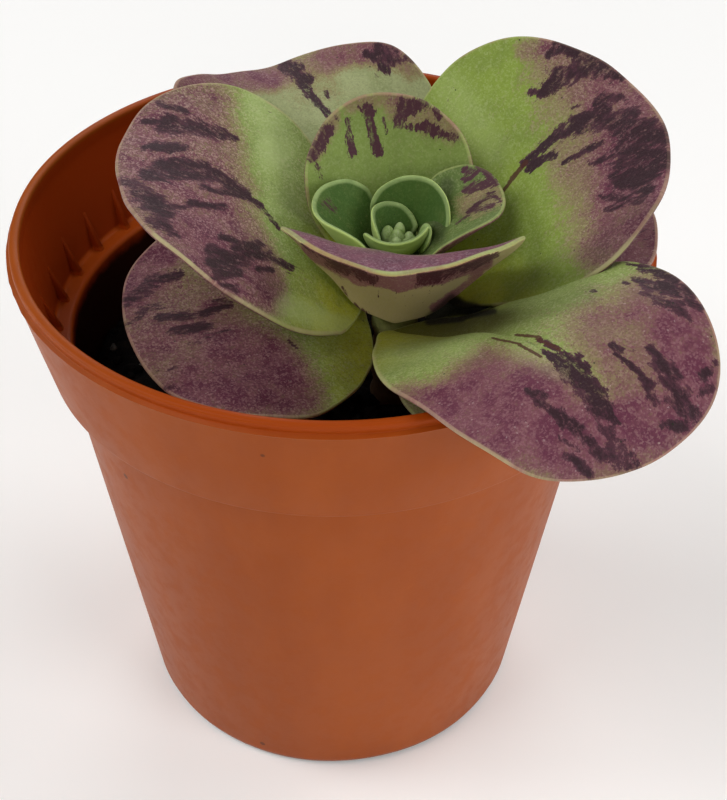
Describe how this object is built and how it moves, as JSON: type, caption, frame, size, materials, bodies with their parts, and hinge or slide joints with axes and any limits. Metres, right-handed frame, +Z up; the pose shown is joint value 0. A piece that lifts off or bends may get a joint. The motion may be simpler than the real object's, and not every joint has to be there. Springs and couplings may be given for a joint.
{
  "type": "potted aeonium",
  "caption": "Young broad-leaved aeonium rosette, green with purple blotches, in a thin-walled terracotta-coloured nursery pot.",
  "frame": {"origin": "centre of the pot's flat underside", "axes": "+Z up along the pot's axis, -Y towards the front, and the leaf that hangs over the rim is at front right, towards +X and -Y"},
  "size_m": [0.0556, 0.0601, 0.0626],
  "materials": {
    "pot": "satin",
    "soil": "rough",
    "stem": "matte",
    "green_leaf": "matte",
    "purple_leaf": "matte",
    "core_leaf": "matte"
  },
  "bodies": {
    "root": {"pot": "pot", "soil": "soil", "stem": "stem", "leaf_core_front": "core_leaf", "leaf_core_left": "core_leaf", "leaf_core_right": "core_leaf", "leaf_core_back": "core_leaf", "bud": "core_leaf", "leaf_inner_right": "green_leaf", "leaf_inner_left": "green_leaf", "leaf_inner_back": "green_leaf", "leaf_right": "green_leaf", "leaf_left": "green_leaf", "leaf_back": "green_leaf", "leaf_front": "purple_leaf", "leaf_over_rim": "purple_leaf", "leaf_under_right": "purple_leaf", "leaf_under_left": "purple_leaf", "leaf_under_front": "purple_leaf"}
  },
  "joints": []
}
